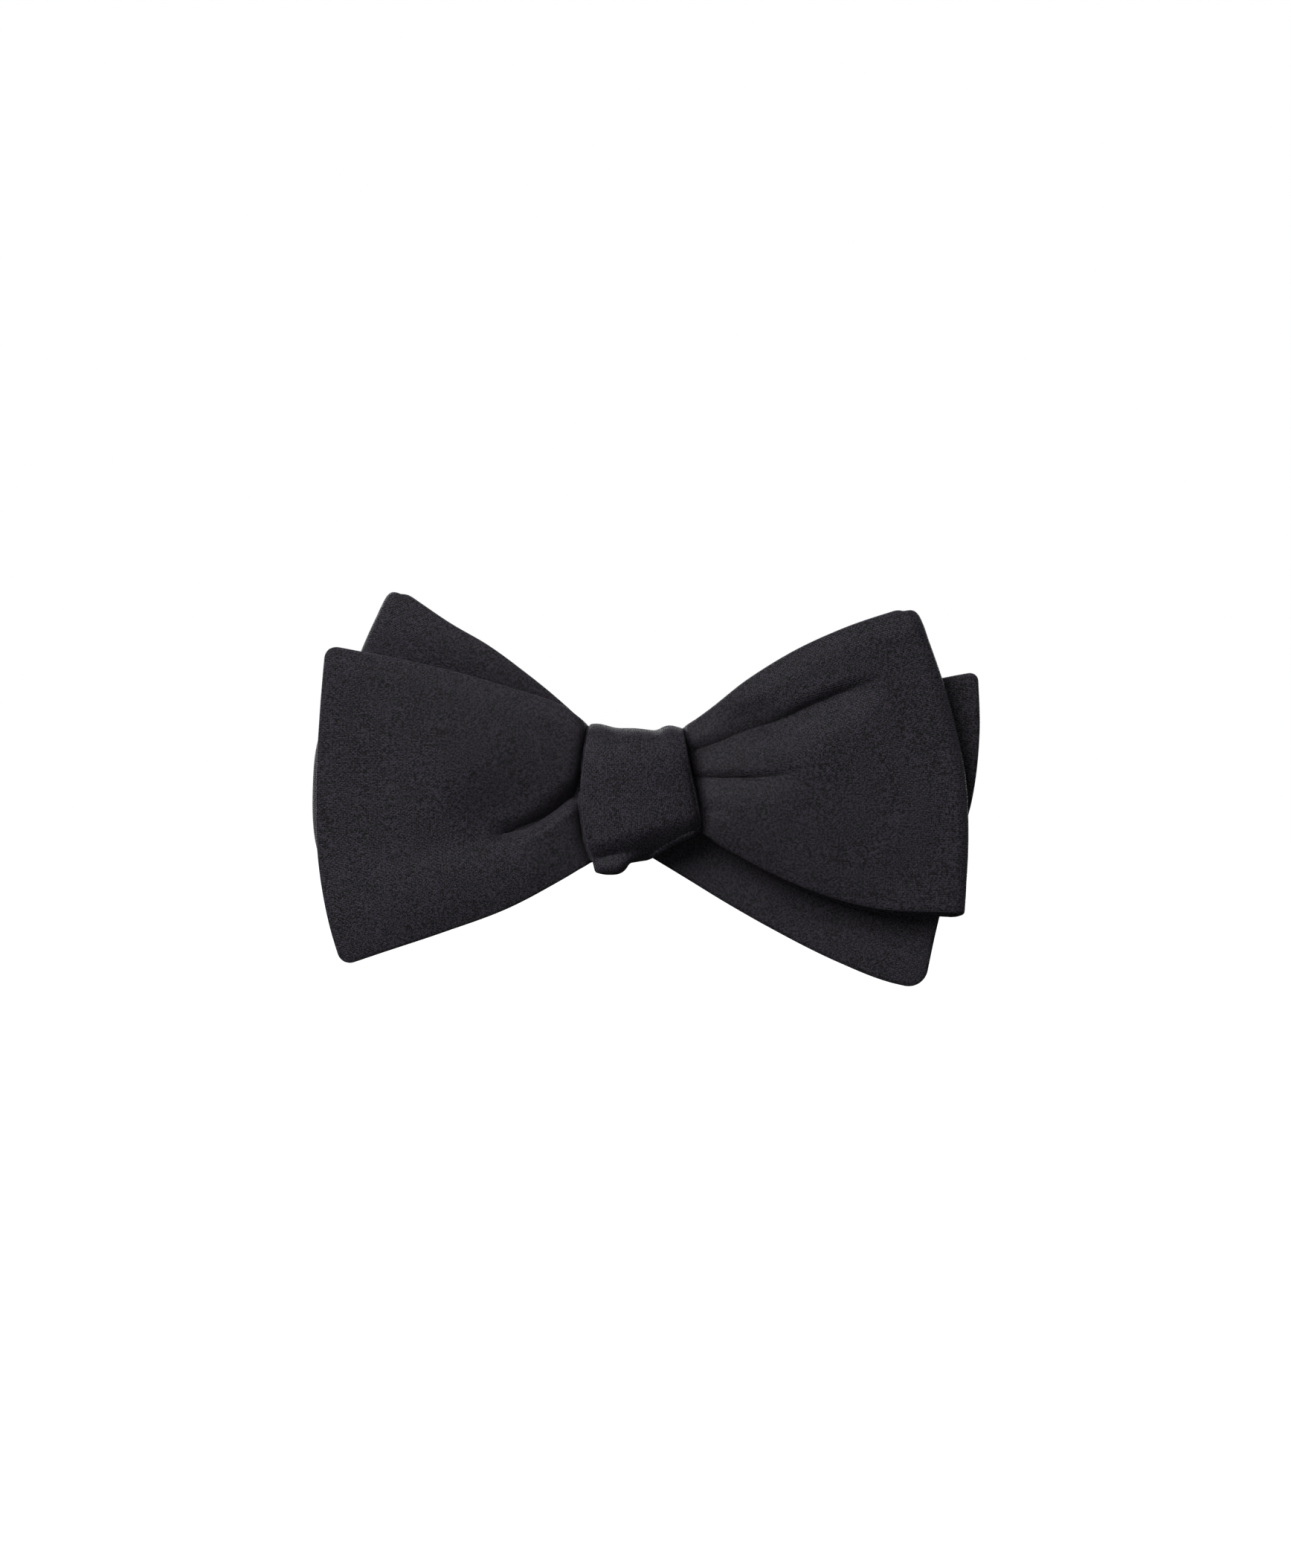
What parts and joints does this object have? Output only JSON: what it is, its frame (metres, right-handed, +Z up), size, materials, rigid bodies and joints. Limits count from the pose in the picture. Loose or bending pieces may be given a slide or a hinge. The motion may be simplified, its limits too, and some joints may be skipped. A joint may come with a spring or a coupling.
{
  "type": "self-tie bow tie",
  "caption": "Tied butterfly bow tie of black silk: a four-winged bow with folded and free ends, a wrapped knot, and an adjustable neckband that closes with a hook and eye at the back.",
  "frame": {"origin": "centre of the neck circle, level with the middle of the knot and of the band", "axes": "+Z up the neck, -Y to the front where the bow is, +X to the wearer's left, which is the viewer's right"},
  "size_m": [0.123, 0.1469, 0.0733],
  "materials": {
    "black_silk": "soft satin sheen, fine ribbed weave",
    "lining_silk": "soft satin sheen",
    "interlining": "matt woven canvas",
    "nickel": "polished nickel plate",
    "thread": "close zigzag stitching",
    "label_tape": "matt woven tape, blank"
  },
  "bodies": {
    "knot": {"knot_wrap_silk": "black_silk", "knot_wrap_interlining": "interlining", "knot_wrap_lining": "lining_silk", "front_waist": "black_silk", "rear_waist": "black_silk", "band_crossing_under": "black_silk", "band_crossing_over": "black_silk", "band_front_right": "black_silk", "band_front_right_interlining": "interlining", "band_front_left": "black_silk", "band_front_left_interlining": "interlining"},
    "front_left_wing": {"front_left_face": "black_silk", "front_left_interlining": "interlining", "front_left_back": "black_silk"},
    "front_right_wing": {"front_right_outer": "black_silk", "front_right_interlining": "interlining", "front_right_inner": "black_silk"},
    "rear_left_wing": {"rear_left_outer": "black_silk", "rear_left_interlining": "interlining", "rear_left_inner": "black_silk"},
    "rear_right_wing": {"rear_right_face": "black_silk", "rear_right_interlining": "interlining", "rear_right_back": "black_silk"},
    "left_strap": {"band_rear_left": "black_silk", "band_rear_left_interlining": "interlining", "eye_loop": "black_silk", "eye_loop_tail": "black_silk", "eye_bartack": "thread", "label": "label_tape"},
    "eye": {"eye": "nickel"},
    "right_strap": {"band_rear_right": "black_silk", "band_rear_right_interlining": "interlining"},
    "hook_end": {"hook_loop": "black_silk", "hook_leaf": "black_silk"},
    "hook": {"hook": "nickel"},
    "slide": {"slide": "nickel", "slide_loop": "black_silk", "slide_crest": "black_silk", "return_leaf": "black_silk", "slide_bartack": "thread"}
  },
  "joints": [
    {"name": "front_left_flex", "type": "hinge", "parent": "knot", "child": "front_left_wing", "pos_m": [-0.009, -0.076, 0], "axis": [0, 0, 1], "range_deg": [0, 18], "stiffness_Nm_per_rad": 0.02},
    {"name": "front_right_flex", "type": "hinge", "parent": "knot", "child": "front_right_wing", "pos_m": [0.009, -0.0759, 0], "axis": [0, 0, -1], "range_deg": [0, 18], "stiffness_Nm_per_rad": 0.02},
    {"name": "rear_left_flex", "type": "hinge", "parent": "knot", "child": "rear_left_wing", "pos_m": [-0.009, -0.0703, 0], "axis": [0, 0, -1], "range_deg": [0, 15], "stiffness_Nm_per_rad": 0.02},
    {"name": "rear_right_flex", "type": "hinge", "parent": "knot", "child": "rear_right_wing", "pos_m": [0.009, -0.0704, 0], "axis": [0, 0, 1], "range_deg": [0, 15], "stiffness_Nm_per_rad": 0.02},
    {"name": "right_strap_swing", "type": "hinge", "parent": "knot", "child": "right_strap", "pos_m": [0.0587, 0, 0], "axis": [0, 0, -1], "range_deg": [0, 70]},
    {"name": "left_strap_swing", "type": "hinge", "parent": "knot", "child": "left_strap", "pos_m": [-0.0587, 0, 0], "axis": [0, 0, 1], "range_deg": [0, 70]},
    {"name": "hook_travel", "type": "hinge", "parent": "right_strap", "child": "hook_end", "pos_m": [-0.003, 0, 0], "axis": [0, 0, 1], "range_deg": [-12, 14], "deforming": ["hook_leaf"]},
    {"name": "slide_travel", "type": "hinge", "parent": "hook_end", "child": "slide", "pos_m": [-0.003, 0, 0], "axis": [0, 0, 1], "range_deg": [-12, 14], "deforming": ["return_leaf"]},
    {"name": "hook_tilt", "type": "hinge", "parent": "hook_end", "child": "hook", "pos_m": [0.00797, 0.06224, 0], "axis": [0, 0, -1], "range_deg": [0, 35]},
    {"name": "eye_tilt", "type": "hinge", "parent": "left_strap", "child": "eye", "pos_m": [-0.0093, 0.05872, 0], "axis": [0, 0, -1], "range_deg": [0, 20]}
  ],
  "couplings": [
    {"joint": "left_strap_swing", "follows": "right_strap_swing", "ratio": 1},
    {"joint": "slide_travel", "follows": "hook_travel", "ratio": 1}
  ]
}
